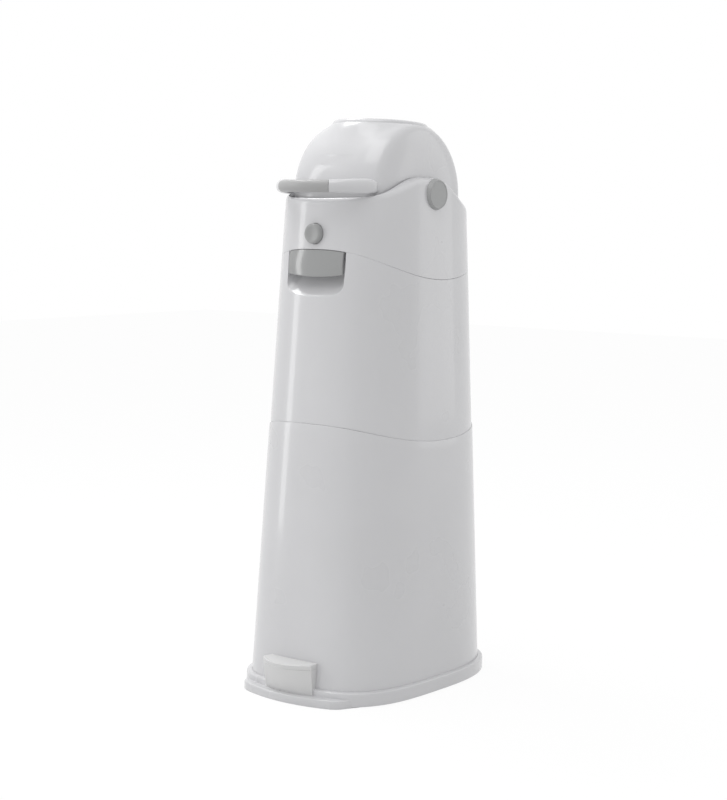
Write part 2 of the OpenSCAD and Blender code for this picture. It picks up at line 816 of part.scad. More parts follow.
module barrel(grow) {
    front = [for (i = [0:5]) let (x = crease_half * i / 5) [x, crown(x)]];
    turned(grown(concat(front, side_outline(side_radii)), grow), 120);
}

// The side faces run on outwards over the flares
flare_reach = 112;
module between_sides(grow) {
    radii = concat([flare_reach, 103, 94, crease_r], side_radii);
    turned(grown(concat([[0, flare_reach]], side_outline(radii)), grow), 120);
}

// The flare that carries a mouth rim on the barrel
flare_foot = 44;
flare_r = 84.6;
module flare(inset, top) {
    steps = 5;
    rotate_extrude() polygon(concat(
        [[0, 0], [flare_r - inset, 0]],
        [for (i = [0:steps])
            let (u = i / steps)
            [mouth_r - inset + (flare_r - mouth_r) * pow(1 - u, 1.15), lerp(flare_foot, top, u)]],
        [[0, top]]));
}

// The drum is the same both ways up
module both_ends() {
    children();
    rotate([180, 0, 0]) children();
}

shell_t = 2.4;
sleeve_t = 2.4;
rim_edge = 4;
rim_seat = mouth_h - 5;

// The barrel with its two necks, drawn in by an inset
module drum_form(inset) {
    top = rim_seat - 0.6 * inset;
    intersection() {
        barrel(-inset);
        cube([2 * drum_w, 3 * drum_r, 2 * top], center = true);
    }
    both_ends() intersection() {
        flare(inset, top);
        between_sides(-inset - 0.15);
    }
}

module drum_shell() {
    color(white) in_drum() difference() {
        union() {
            difference() {
                drum_form(0);
                drum_form(shell_t);
            }
            both_sides() intersection() {
                handle_bolt(5.5, bolt_seat, bolt_seat + 9);
                barrel(-1);
            }
        }
        translate([0, 0, -100]) cylinder(h = 200, r = chamber_r + sleeve_t);
        along_x(-100, 100, 9);
        both_sides() handle_bolt(1.6, bolt_seat - 1, bolt_seat + 20);
    }
}

module chamber_sleeve() {
    color(white) in_drum() translate([0, 0, -rim_seat]) difference() {
        cylinder(h = 2 * rim_seat, r = chamber_r + sleeve_t);
        translate([0, 0, -1]) cylinder(h = 2 * rim_seat + 2, r = chamber_r);
    }
}

module mouth_ring() {
    color(white) in_drum() rotate_extrude() polygon(concat(
        [[chamber_r - 0.6, rim_seat], [mouth_r, rim_seat]],
        [for (a = [0:15:90]) [mouth_r, mouth_h] + rim_edge * [cos(a) - 1, sin(a) - 1]],
        [for (a = [90:30:180]) [chamber_r + 0.9 + 1.5 * cos(a), mouth_h - 1.5 + 1.5 * sin(a)]]));
}
module upper_mouth_ring() { mouth_ring(); }
module lower_mouth_ring() {
    in_drum() rotate([180, 0, 0]) rotate([rest_tilt, 0, 0]) translate([0, -hub_y, -hub_z]) mouth_ring();
}

hub_flange_r = 24;
module drum_hub_body() {
    inner = drum_half - shell_t;
    in_drum() {
        along_x(inner - 2.5, inner - 0.1, hub_flange_r);
        along_x(inner - 0.2, lug_to, 8.95);
        along_x(lug_to - 0.5, 90.6, axle_r);
    }
}
module left_drum_hub() { color(grey) mirror([1, 0, 0]) drum_hub_body(); }
module right_drum_hub() {
    color(grey) {
        drum_hub_body();
        in_drum() translate([lug_from, -lug_end, -lug_half])
            cube([lug_to - lug_from, lug_end, 2 * lug_half]);
    }
}

// Handle

// The bar follows half an ellipse level with the drum's own middle plane, then runs straight into the drum
hoop_root = 83;
hoop_depth = hoop_front - hoop_root;
hoop_run = 16;
core_inset = 2.2;
arm_side = 72.6;
function hoop_ring(turn, run, grow) =
    let (across = [hoop_depth * sin(turn), -hoop_half * cos(turn)],
         out = across / norm(across),
         root = ease((abs(turn) - 76) / 14),
         deep = bar_d / 2 + grow, tall = bar_h / 2 + grow)
    [for (k = [0:15])
        let (t = 22.5 * k)
        [hoop_half * sin(turn) + deep * cos(t) * out[0],
         run - hoop_root - hoop_depth * cos(turn) + deep * cos(t) * out[1],
         hoop_up - (tall + root * (t > 180 ? 3 : 0)) * sin(t)]];
function hoop_rings(from, to, steps, grow) =
    [for (i = [0:steps]) hoop_ring(lerp(from, to, i / steps), 0, grow)];

module handle_frame() {
    color(white) in_drum() difference() {
        intersection() {
            loft(concat(
                [hoop_ring(-90, hoop_run, 0)], hoop_rings(-90, -grip_turn, 8, 0),
                hoop_rings(-grip_turn, grip_turn, 8, -core_inset),
                hoop_rings(grip_turn, 90, 8, 0), [hoop_ring(90, hoop_run, 0)]
            ));
            along_x(-arm_side, arm_side, 200);
        }
        barrel(0.1);
        both_sides() handle_bolt(1.5, bolt_seat, bolt_seat + 25);
    }
}

// Screws from inside the drum into each arm
bolt_x = 63.5;
bolt_seat = 76.5;
module handle_bolt(r, from, to) {
    translate([bolt_x, -from, hoop_up]) rotate([90, 0, 0]) cylinder(h = to - from, r = r, $fn = 32);
}

module handle_grip() {
    end = grip_turn - 0.05;
    color(grey) in_drum() sleeve(concat(
        hoop_rings(-end, end, 8, 0.1), hoop_rings(end, -end, 8, 0.05 - core_inset)
    ));
}

module handle_screws() {
    color(steel) in_drum() both_sides() {
        handle_bolt(1.45, bolt_seat - 0.1, bolt_seat + 22);
        handle_bolt(3, bolt_seat - 1.8, bolt_seat);
    }
}

// Piston

piston_rest = -mouth_h + 4.5;
piston_t = 12;
module piston_disc() {
    r = chamber_r - 1.6;
    color(pale) in_drum() rotate_extrude() polygon([
        [0, piston_rest + 1], [20, piston_rest + 1], [24, piston_rest],
        [r - 2, piston_rest], [r, piston_rest + 2],
        [r, piston_rest + 4.4], [r - 3, piston_rest + 4.4], [r - 3, piston_rest + 7.6],
        [r, piston_rest + 7.6], [r, piston_rest + piston_t - 2],
        [r - 2, piston_rest + piston_t], [24, piston_rest + piston_t],
        [20, piston_rest + piston_t - 1], [0, piston_rest + piston_t - 1]
    ]);
}

module piston_seal() {
    color(rubber) in_drum() rotate_extrude() polygon([
        [chamber_r - 4.5, piston_rest + 4.6], [chamber_r - 0.7, piston_rest + 4.6],
        [chamber_r - 0.35, piston_rest + 6], [chamber_r - 0.7, piston_rest + 7.4],
        [chamber_r - 4.5, piston_rest + 7.4]
    ]);
}

base_ring();
foot_plate();
foot_rest();
rubber_feet();
base_screws();
lower_bin();
upper_bin();
bag_ring();
hinge_bracket();
hinge_pin();
bracket_screws();
latch_strike();
head_casing();
drum_cradle();
drum_wipers();
grip_lip();
lip_screws();
left_hub_bush();
right_hub_bush();
left_hub_disc();
right_hub_disc();
stop_buffers();
cradle_screws();
hinge_leaf();
leaf_screws();
button_guide();
button_spring();
latch_pin();
release_button();
latch_lever();
drum_shell();
chamber_sleeve();
upper_mouth_ring();
lower_mouth_ring();
left_drum_hub();
right_drum_hub();
handle_frame();
handle_grip();
handle_screws();
piston_disc();
piston_seal();
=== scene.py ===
import math
import bmesh
import bpy
import numpy as np
from mathutils import Matrix, Vector


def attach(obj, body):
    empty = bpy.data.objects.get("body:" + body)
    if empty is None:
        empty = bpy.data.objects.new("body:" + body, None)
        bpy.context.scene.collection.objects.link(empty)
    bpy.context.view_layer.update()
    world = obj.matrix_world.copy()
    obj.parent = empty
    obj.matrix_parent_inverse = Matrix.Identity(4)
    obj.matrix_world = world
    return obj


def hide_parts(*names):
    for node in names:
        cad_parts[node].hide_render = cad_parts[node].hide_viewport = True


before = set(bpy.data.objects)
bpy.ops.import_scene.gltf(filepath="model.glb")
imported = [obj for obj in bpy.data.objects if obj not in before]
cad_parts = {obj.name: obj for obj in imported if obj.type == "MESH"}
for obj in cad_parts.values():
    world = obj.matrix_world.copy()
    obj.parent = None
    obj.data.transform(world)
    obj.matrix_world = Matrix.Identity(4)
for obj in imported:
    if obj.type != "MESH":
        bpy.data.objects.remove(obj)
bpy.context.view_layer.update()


# Base ring: a moulded white bead that the whole bin stands in, closed
# underneath by a tray. It clips up round the foot of the lower bin, and its
# outline is the body's own, a little larger.

body_middle = 0.009


def sizes_at(height):
    """Half width, front reach, rear reach and front squareness of the body, which taper evenly with height."""
    t = np.asarray(height, float) / 0.59
    return (0.2306 - 0.041 * t) / 2, 0.1534 - 0.0404 * t, 0.1588 - 0.0238 * t, 3.37 - 0.67 * t


def skin(angle, height, grow=0.0):
    """Points of the body's skin: a superellipse round the middle, squarer at the front, grown outwards."""
    side, front, rear, square = sizes_at(height)
    c, s = np.cos(angle), np.sin(angle)
    power = np.where(s < 0, square, 2.7)
    depth = np.where(s < 0, front, rear) + grow
    r = (np.abs(c) ** power + np.abs(s) ** power) ** (-1 / power)
    x, y, z = np.broadcast_arrays((side + grow) * c * r, body_middle + depth * s * r, height)
    return np.stack([x, y, z], axis=-1)


def front_at(x, height, grow=0.0):
    """How far forward the skin's front stands at a place across the body."""
    side, front, rear, square = sizes_at(height)
    part = np.clip(np.abs(x) / (side + grow), 0, 1)
    return body_middle - (front + grow) * (1 - part ** square) ** (1 / square)


def mould(name, *grids, crease=32, weld=2e-6, around=True):
    """One smooth moulded piece from grids of points, rows by columns.

    Each four neighbouring points make a face. With around, the last column meets the first.
    """
    points, faces, start = [], [], 0
    for grid in grids:
        rows, columns = grid.shape[:2]
        spots = np.arange(rows * columns).reshape(rows, columns) + start
        if around:
            spots = np.concatenate([spots, spots[:, :1]], axis=1)
        corners = [spots[:-1, :-1], spots[:-1, 1:], spots[1:, 1:], spots[1:, :-1]]
        faces.append(np.stack(corners, axis=-1).reshape(-1, 4))
        points.append(grid.reshape(-1, 3))
        start += rows * columns
    mesh = bpy.data.meshes.new(name)
    mesh.from_pydata(np.concatenate(points).tolist(), [], np.concatenate(faces).tolist())
    work = bmesh.new()
    work.from_mesh(mesh)
    bmesh.ops.remove_doubles(work, verts=work.verts, dist=weld)
    bmesh.ops.dissolve_degenerate(work, edges=work.edges, dist=weld / 2)
    bmesh.ops.recalc_face_normals(work, faces=work.faces)
    work.to_mesh(mesh)
    work.free()
    mesh.shade_smooth()
    mesh.set_sharp_from_angle(angle=math.radians(crease))
    piece = bpy.data.objects.new(name, mesh)
    bpy.context.scene.collection.objects.link(piece)
    return piece


def to_middle(ring, middle):
    """Rows that close a ring down to one point."""
    shares = np.array([0.4, 0.8, 0.97, 1.0])[:, None, None]
    return ring[None] * (1 - shares) + np.asarray(middle)[None, None] * shares


def linear(red, green, blue):
    """A colour as seen on screen, 0 to 255, in the values a shader takes."""
    c = np.array([red, green, blue]) / 255
    c = np.where(c <= 0.04045, c / 12.92, ((c + 0.055) / 1.055) ** 2.4)
    return (*c.tolist(), 1.0)


def plastic(name, colour, rough, coat=0.0, grain=0.02, tone=0.015, texture=900.0):
    """Moulded plastic: a faint drift of tone, uneven gloss and a fine grain from the tool."""
    material = bpy.data.materials.new(name)
    material.use_nodes = True
    nodes, links = material.node_tree.nodes, material.node_tree.links
    shader = nodes["Principled BSDF"]
    place = nodes.new("ShaderNodeTexCoord")
    drift = nodes.new("ShaderNodeTexNoise")
    drift.inputs["Scale"].default_value = 9.0
    drift.inputs["Detail"].default_value = 3.0
    tint = nodes.new("ShaderNodeValToRGB")
    base = np.array(linear(*colour)[:3])
    tint.color_ramp.elements[0].position, tint.color_ramp.elements[1].position = 0.3, 0.7
    tint.color_ramp.elements[0].color = (*(base * (1 - tone)).tolist(), 1.0)
    tint.color_ramp.elements[1].color = (*(base * (1 + tone)).tolist(), 1.0)
    gloss = nodes.new("ShaderNodeMapRange")
    gloss.inputs["To Min"].default_value = rough - 0.03
    gloss.inputs["To Max"].default_value = rough + 0.03
    pores = nodes.new("ShaderNodeTexNoise")
    pores.inputs["Scale"].default_value = texture
    pores.inputs["Detail"].default_value = 2.0
    bump = nodes.new("ShaderNodeBump")
    bump.inputs["Strength"].default_value = grain
    bump.inputs["Distance"].default_value = 0.0004
    for noise in (drift, pores):
        links.new(place.outputs["Object"], noise.inputs["Vector"])
    links.new(drift.outputs["Fac"], tint.inputs["Fac"])
    links.new(tint.outputs["Color"], shader.inputs["Base Color"])
    links.new(drift.outputs["Fac"], gloss.inputs["Value"])
    links.new(gloss.outputs["Result"], shader.inputs["Roughness"])
    links.new(pores.outputs["Fac"], bump.inputs["Height"])
    links.new(bump.outputs["Normal"], shader.inputs["Normal"])
    shader.inputs["IOR"].default_value = 1.49
    shader.inputs["Coat Weight"].default_value = coat
    shader.inputs["Coat Roughness"].default_value = 0.08
    return material


white_gloss = plastic("white_moulded", (213, 213, 215), 0.28, coat=0.5)

columns = 360
turns = np.linspace(0, 2 * math.pi, columns, endpoint=False)


def level(height, grow):
    """One level ring of the body's outline."""
    return skin(turns, height, grow)


def rows_of(*rings):
    """Stacks rings into a grid."""
    return np.stack(rings)


def curve(spots, steps):
    """A smooth run through spots, by cubic pieces whose slopes follow their neighbours."""
    spots = np.asarray(spots, float)
    ends = np.concatenate([2 * spots[:1] - spots[1:2], spots, 2 * spots[-1:] - spots[-2:-1]])
    t = np.linspace(0, len(spots) - 1, steps)
    i = np.minimum(t.astype(int), len(spots) - 2)
    u = (t - i)[:, None]
    a, b, c, d = ends[i], ends[i + 1], ends[i + 2], ends[i + 3]
    return 0.5 * (2 * b + (c - a) * u + (2 * a - 5 * b + 4 * c - d) * u ** 2 + (3 * b - a - 3 * c + d) * u ** 3)


bead = curve([(0.0015, 0.0044), (0.0021, 0.0050), (0.0045, 0.0054), (0.009, 0.0056), (0.0145, 0.00575),
              (0.0168, 0.0057), (0.0178, 0.0053), (0.0184, 0.0045), (0.0187, 0.0032), (0.0189, 0.0016)], 46)
rings = [level(0.006, 0.0002), level(0.0015, 0.0012)] + [level(h, g) for h, g in bead] + [level(0.0191, 0.0002)]
inner = level(0.009, 0.0002)
base_ring = mould("base_ring_bead", np.concatenate([
    to_middle(rings[0], (0, body_middle, 0.006))[::-1], rows_of(*rings), rows_of(inner),
    to_middle(inner, (0, body_middle, 0.009))]))
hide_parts("base_ring")
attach(base_ring, "bin")
base_ring.data.materials.append(white_gloss)


# Foot plate: a low white plate in front of the base, held by a foot while the
# bin is opened. Its front is a shallow arc with rounded edges, and its rear
# runs in under the base ring.

arc = np.radians(np.linspace(-20.3, 20.3, 81))
front_arc = np.stack([0.2 * np.sin(arc), -0.1655 + 0.2 * (1 - np.cos(arc))], axis=-1)
corner = curve([front_arc[-1], (0.0727, -0.1508), (0.0751, -0.1494), (0.0776, -0.147), (0.0795, -0.1442)], 25)[1:]
flank = np.linspace(corner[-1], (0.0925, -0.118), 12)[1:]
right_half = np.concatenate([front_arc[40:], corner, flank])
outline = np.concatenate([(right_half * [-1, 1])[::-1][:-1], right_half])


def plate_ring(inset, height):
    """The plate's outline drawn in towards its middle."""
    x = outline[:, 0] * (1 - inset / 0.08)
    y = outline[:, 1] + (-0.135 - outline[:, 1]) * inset / 0.03
    return np.stack([x, y, np.full_like(x, height)], axis=-1)


swing = np.radians(np.linspace(0, 90, 8))
rounded = [plate_ring(0.0018 * (1 - math.cos(a)), 0.0092 + 0.0018 * math.sin(a)) for a in swing]
lower = [plate_ring(0.001 * (1 - math.sin(a)), 0.001 * (1 - math.cos(a))) for a in swing[::2]]
foot_plate = mould("foot_plate_moulding", np.concatenate([
    to_middle(lower[0], (0, -0.138, 0))[::-1], rows_of(*lower, *rounded),
    to_middle(rounded[-1], (0, -0.138, 0.011))]))
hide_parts("foot_plate")
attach(foot_plate, "bin")
foot_plate.data.materials.append(white_gloss)


# Foot rest: a half-round block on the plate, against the bin's foot, in a white a
# little lighter than the body's: partly its own colour, partly painted light for its
# lit top. It leans forward as it rises and has a faint step below its top edge.

def rest_ring(height, inset=0.0):
    """One level outline of the foot rest, a bulging front closed by the bin's own front."""
    up = (height - 0.0111) / 0.0389
    half = 0.0381 + 0.0014 * up - inset
    middle = -0.1566 - 0.0164 * up + inset
    bulge = 0.0065 + 0.0121 * up
    s = np.sin(np.linspace(-math.pi / 2, math.pi / 2, 61))
    face = np.stack([half * s, middle + bulge * s * s, np.full_like(s, height)], axis=-1)
    x = half * np.linspace(1, -1, 41)[1:-1]
    back = np.stack([x, front_at(x, height, 0.0003), np.full_like(x, height)], axis=-1)
    return np.concatenate([face, back])


top = [rest_ring(0.0484 + 0.0016 * math.sin(a), 0.0002 + 0.0014 * (1 - math.cos(a))) for a in swing]
step = [rest_ring(0.0111), rest_ring(0.0436, 0.0), rest_ring(0.0439, 0.0003), rest_ring(0.0442, 0.0005),
        rest_ring(0.0445, 0.0003), rest_ring(0.0448, 0.0)]
foot_rest = mould("foot_rest_block", np.concatenate([
    to_middle(step[0], (0, -0.15, 0.0111))[::-1], rows_of(*step, *top), to_middle(top[-1], (0, -0.15, 0.05))]))
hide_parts("foot_rest")
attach(foot_rest, "bin")
# Its white is a little lighter than the body's: partly the block's own colour, partly painted light for its
# brightly lit top.
lightened_white = plastic("white_moulded_lightened", (219, 219, 219), 0.42, grain=0.05)
foot_rest.data.materials.append(lightened_white)


# Lower bin: the tall tapered tub that holds the full bag, moulded in white.
# Its top edge is a shallow wave, which the upper bin's spigot plugs into.

lower_guide = 0.333


def lower_seam(y):
    """Height of the tub's top edge: a parabola, lowest a little behind the middle."""
    return 0.318 + 1.12 * (y - body_middle - 0.02) ** 2


def seam_ring(seam, guide, up, grow):
    """A ring of the skin that follows a wavy seam."""
    along = skin(turns, guide, grow)[:, 1]
    return skin(turns, seam(along) + up, grow)


proud = 0.00055
thickness = 0.0026
heights = np.linspace(0.0115, 0.29, 60)
swell = np.interp(heights, [0.06, 0.18, 0.318], [0, proud / 2, proud])
tub_round = 0.001
edge = [seam_ring(lower_seam, lower_guide, -0.0011 + tub_round * math.sin(a), proud - tub_round * (1 - math.cos(a)))
        for a in swing]
wall = [level(h, g - thickness) for h, g in zip(heights[::-2], swell[::-2])]
lower_bin = mould("lower_bin_tub", np.concatenate([
    to_middle(level(0.0092, -0.001), (0, body_middle, 0.0092))[::-1],
    rows_of(level(0.0092, -0.001), level(0.0096, -0.0004), level(0.0102, 0),
            *[level(h, g) for h, g in zip(heights, swell)],
            seam_ring(lower_seam, lower_guide, -0.012, proud), *edge,
            seam_ring(lower_seam, lower_guide, -0.0004, proud - thickness), *wall, level(0.0123, -0.0036)),
    to_middle(level(0.0123, -0.0036), (0, body_middle, 0.0123))]))
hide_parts("lower_bin")
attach(lower_bin, "bin")
lower_bin.data.materials.append(white_gloss)


# Upper bin: the white collar between the two seams. A scoop in its front lets
# fingers reach in under the lip of the head, and a spigot holds it in the tub.

head_guide = 0.54


def head_seam(y):
    """Height of the collar's top edge: a parabola like the lower one, lowest further back."""
    return 0.520 + 1.85 * (y - body_middle - 0.027) ** 2


half_scoop = 0.0455
scoop_round = 0.0014
across = half_scoop * np.sin(np.linspace(0, math.pi / 2, 61))
edge_round = half_scoop + scoop_round * (1 - np.cos(np.linspace(0.2, math.pi / 2, 8)))
beyond = half_scoop + np.array([0.0018, 0.0026, 0.004, 0.0064, 0.0095])
places = np.concatenate([across, edge_round, beyond])
places = np.concatenate([-places[:0:-1], places])
shares_round = np.linspace(0, 1, 272)[1:-1]


def scoop_foot(x, wide):
    """Height of the scoop's rounded foot at a place across it: half a superellipse of power 3.2."""
    return 0.5005 - wide + 0.02 * (1 - np.clip(1 - np.abs(x / (half_scoop + wide)) ** 3.2, 0, 1) ** (1 / 3.2))


def scoop_depth(x, height, wide):
    """How deep the scoop is: steep sides by a sixth power, a foot that runs in on a parabola, soft edges."""
    inside = 0.02 * np.clip(1 - (np.abs(x) / (half_scoop + wide)) ** 6, 0, 1) ** (1 / 3)
    over = np.clip((height - scoop_foot(x, wide)) / 0.034, -0.2, 1)
    slope = 20 * np.where(over > 0, 1 - (1 - over) ** 2, 2 * over)
    foot = np.where(slope > 4, slope, 0.35 * np.log1p(np.exp(np.minimum(slope, 4) / 0.35))) / 20
    from_edge = np.clip(half_scoop + scoop_round - np.abs(x), 0, scoop_round)
    edge = scoop_round - np.sqrt(scoop_round ** 2 - from_edge ** 2)
    soft = np.where(np.abs(x) < half_scoop, np.maximum(inside, scoop_round), edge)
    return (inside if wide else soft) * foot


def round_angles(height, grow):
    """Angles of the collar's columns round the sides and rear, from where the front's columns end."""
    side, front, rear, square = sizes_at(height)
    x = places[-1] / (side + grow)
    begin = np.arctan2(-(1 - x ** square) ** (1 / square), x)
    return begin + (math.pi - 2 * begin) * shares_round


def collar_row(front_z, round_z, thick=0.0, wide=0.0):
    """One row of the collar, across the front and then round the sides and rear."""
    front_z = front_z * np.ones_like(places)
    round_z = round_z * np.ones_like(shares_round)
    swell_front, swell_round = (np.interp(z, [0.33, 0.45, 0.488], [-proud, -proud / 2, 0.0]) - thick
                                for z in (front_z, round_z))
    y = front_at(places, front_z, swell_front) + scoop_depth(places, front_z, wide)
    face = np.stack([places, y, front_z], axis=-1)
    return np.concatenate([face, skin(round_angles(round_z, swell_round), round_z, swell_round)])


def seam_line(seam, guide, up, thick):
    """Heights of a wavy seam at the collar's columns."""
    beside = skin(round_angles(guide, -thick), guide, -thick)[:, 1]
    return seam(front_at(places, guide, -thick)) + up, seam(beside) + up


def collar_wall(low, high, thick, wide):
    """Rows of the collar's wall, close together round the scoop's foot."""
    away = np.clip(np.minimum(shares_round, 1 - shares_round) / 0.12, 0, 1)
    feet = (scoop_foot(np.clip(places, -half_scoop - wide, half_scoop + wide), wide),
            scoop_foot(half_scoop + wide, wide) - 0.02 * (3 - 2 * away) * away ** 2)
    rows = [[lo + (foot - 0.0016 - lo) * share for foot, lo in zip(feet, low)]
            for share in np.linspace(0, 1, 56)]
    rows += [[foot + above for foot in feet] for above in np.linspace(-0.0014, 0.0028, 15)]
    rows += [[foot + 0.003 + (hi - foot - 0.003) * share for foot, hi in zip(feet, high)]
             for share in np.linspace(0, 1, 40)]
    return [collar_row(f, r, thick, wide) for f, r in rows]


scoop_wall = 0.0024
collar_round = 0.0006
outside = collar_wall(seam_line(lower_seam, lower_guide, 0.0, 0),
                      seam_line(head_seam, head_guide, -0.0007, 0), 0, 0)
inside = collar_wall(seam_line(lower_seam, lower_guide, 0.026, thickness),
                     seam_line(head_seam, head_guide, -0.0016, thickness), thickness, scoop_wall)
top_edge = [collar_row(*seam_line(head_seam, head_guide, -0.0007 + collar_round * math.sin(a), 0),
                       collar_round * (1 - math.cos(a))) for a in swing[1:]]
spigot = [collar_row(*seam_line(lower_seam, lower_guide, up, thick), thick, scoop_wall)
          for up, thick in ((0.012, 2 * thickness), (-0.018, 2 * thickness), (-0.018, thickness),
                            (0.0004, thickness))]
upper_bin = mould("upper_bin_collar", rows_of(*outside, *top_edge, *inside[::-1], *spigot, outside[0]))
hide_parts("upper_bin")
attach(upper_bin, "bin")
upper_bin.data.materials.append(white_gloss)


# Bag ring: a satin grey hoop on small ribs inside the collar, which the mouth
# of the bag is folded over.

hoop = curve([(0.4725, 0.0176), (0.4725, 0.0196), (0.476, 0.0196), (0.482, 0.0196), (0.4842, 0.0189),
              (0.485, 0.0176), (0.485, 0.012), (0.485, 0.006), (0.4838, 0.0041), (0.481, 0.0038),
              (0.4778, 0.0039), (0.4762, 0.0052), (0.4761, 0.01), (0.476, 0.0156), (0.4745, 0.0168)], 64)
bag_ring = mould("bag_ring_hoop", rows_of(*[level(h, -g) for h, g in hoop], level(*hoop[0] * [1, -1])))
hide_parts("bag_ring")
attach(bag_ring, "bin")
satin_grey = plastic("grey_moulded", (165, 166, 166), 0.34, coat=0.12, grain=0.04)
bag_ring.data.materials.append(satin_grey)


# Head casing: the white shell that carries the drum. Its wavy foot meets the
# collar, its rim rises beside the drum and rounds over to the opening, and a
# round boss stands out at each bearing.

def head_rim(x, y):
    """Height of the head's rim: low in front, high beside the drum, lowest behind, by half cosines."""
    ease = lambda t: 0.5 - 0.5 * np.cos(math.pi * np.clip(t, 0, 1))
    ahead = 0.012 - y
    part = np.where(ahead > 0, (ahead - 0.009) / 0.097, (-ahead - 0.016) / 0.068)
    return (0.6205 + 0.002 * np.clip(np.abs(x) / 0.075, 0, 1) ** 2 + 0.025 * (1 - ease(part))
            - 0.0125 * ease((y - body_middle - 0.06) / 0.06))


rim_level = 0.622
at_rim = skin(turns, rim_level)
rim_height = head_rim(at_rim[:, 0], at_rim[:, 1])
shoulder = skin(turns, rim_height - 0.009)
opening = skin(turns, rim_level, -0.0032)
opening[:, 0] /= (1 + (np.abs(opening[:, 0]) / 0.0764) ** 24) ** (1 / 24)
opening[:, 2] = rim_height
across_rim = np.radians(np.linspace(0, 90, 19))[:, None, None]
level_part, upright_part = np.cos(across_rim), np.sin(across_rim)
rounding = np.concatenate([
    shoulder[None, :, :2] * level_part + opening[None, :, :2] * (1 - level_part),
    shoulder[None, :, 2:] * (1 - upright_part) + opening[None, :, 2:] * upright_part], axis=-1)
foot_edge = [seam_ring(head_seam, head_guide, 0.0006 - 0.0005 * math.sin(a), -0.0005 * (1 - math.cos(a)))
             for a in swing[::-1]]
foot_line = foot_edge[-1]
share = np.linspace(0, 1, 61)[1:-1]
casing_skin = [skin(turns, foot_line[:, 2] + (shoulder[:, 2] - foot_line[:, 2]) * t) for t in share]
under = opening - [0, 0, 0.011]
inner_top = skin(turns, rim_height - 0.014, -thickness)
inner_foot = seam_ring(head_seam, head_guide, 0.0004, -thickness)
casing_inside = [skin(turns, inner_top[:, 2] + (inner_foot[:, 2] - inner_top[:, 2]) * t, -thickness)
                 for t in np.linspace(0, 1, 31)]
casing = np.concatenate([rows_of(*foot_edge, *casing_skin), rounding,
                         rows_of(opening - [0, 0, 0.004], under, *casing_inside, foot_edge[0])])

hub = np.array([0, 0.018, 0.6264])
lathe_turns = np.linspace(0, 2 * math.pi, 128, endpoint=False)


def turned(profile, axis, middle, flip=False):
    """A profile of (place along the axis, radius) turned round an x or y axis through a point."""
    profile = np.asarray(profile, float)
    along = profile[:, :1] * np.ones_like(lathe_turns) * (-1 if flip else 1)
    u, v = profile[:, 1:] * np.cos(lathe_turns), profile[:, 1:] * np.sin(lathe_turns)
    parts = (along, u, v) if axis == "x" else (u, along, v)
    return np.stack(parts, axis=-1) + np.asarray(middle)


boss = [(0.0775, 0.0), (0.0775, 0.019), (0.0779, 0.0195),
        *[(0.0925 + 0.0008 * math.sin(a), 0.0187 + 0.0008 * math.cos(a)) for a in swing],
        (0.0926, 0.0181), (0.0926, 0.0)]
head_casing = mould("head_casing_shell", casing)
bosses = mould("bosses", turned(boss, "x", hub), turned(boss, "x", hub, flip=True))
button_height = 0.577
drill = [(-0.13, 0.0), (-0.13, 0.0131), (-0.1005, 0.0131), (-0.1005, 0.0)]
cutter = mould("cutter", turned(drill, "y", (0, 0, button_height)))
work = bmesh.new()
work.from_mesh(head_casing.data)
work.from_mesh(bosses.data)
work.to_mesh(head_casing.data)
work.free()
hole = head_casing.modifiers.new("hole", "BOOLEAN")
hole.operation, hole.solver, hole.object = "DIFFERENCE", "EXACT", cutter
evaluated = head_casing.evaluated_get(bpy.context.evaluated_depsgraph_get())
finished = bpy.data.meshes.new_from_object(evaluated)
head_casing.modifiers.clear()
head_casing.data = finished
finished.shade_smooth()
finished.set_sharp_from_angle(angle=math.radians(32))
for tool in (cutter, bosses):
    bpy.data.objects.remove(tool)
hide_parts("head_casing")
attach(head_casing, "head")
head_casing.data.materials.clear()
head_casing.data.materials.append(white_gloss)


# Lip: a grey grip moulded as its own piece and screwed on inside the casing.
# It bulges a little, hangs down over the scoop and has a full round lower edge.

half_lip = 0.043
lip_places = half_lip * np.sin(np.linspace(-math.pi / 2, math.pi / 2, 81))


def lip_section(x, inset):
    """The lip's closed outline at a place across it, drawn in by an inset: face, rounded foot, back, top."""
    low = 0.524 + 0.003 * (x / half_lip) ** 2 + inset
    high = head_seam(front_at(x, 0.556)) - 0.0002 - inset
    v = np.linspace(1, 0.07, 24)
    z = low + (high - low) * v
    bulge = 0.0004 + 0.0012 * np.sin(math.pi * v)
    face = front_at(x, z, bulge) + inset
    foot = np.linspace(0, math.pi, 13)[1:-1]
    thick = 0.0036 - 2 * inset
    foot_z = low + (high - low) * 0.07
    foot_y = front_at(x, foot_z, bulge[-1]) + inset
    round_y, round_z = np.sign(np.cos(foot)) * np.abs(np.cos(foot)) ** 0.6, np.sin(foot) ** 0.6
    y = np.concatenate([face, foot_y + thick / 2 * (1 - round_y), face[::-1] + thick])
    z = np.concatenate([z, foot_z - (foot_z - low) * round_z, z[::-1]])
    return np.stack([np.full_like(y, x), y, z], axis=-1)


edges = np.clip(np.abs(lip_places) - half_lip + 0.0008, 0, None) / 0.0008
insets = 0.0008 * (1 - np.sqrt(np.clip(1 - edges ** 2, 0, 1)))
sections = np.stack([lip_section(x, i) for x, i in zip(lip_places, insets)])
ends = [to_middle(sections[k], sections[k].mean(axis=0)) for k in (0, -1)]
grip_lip = mould("grip_lip_moulding", np.concatenate([ends[0][::-1], sections, ends[1]]), crease=40)
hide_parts("grip_lip")
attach(grip_lip, "head")
lip_grey = plastic("lip_moulded", (157, 158, 158), 0.18, coat=0.5, grain=0.02)
grip_lip.data.materials.append(lip_grey)


# Hub discs: grey caps pressed into the bosses over the bearings. Each has a
# rounded edge and a shallow round recess, left bare.

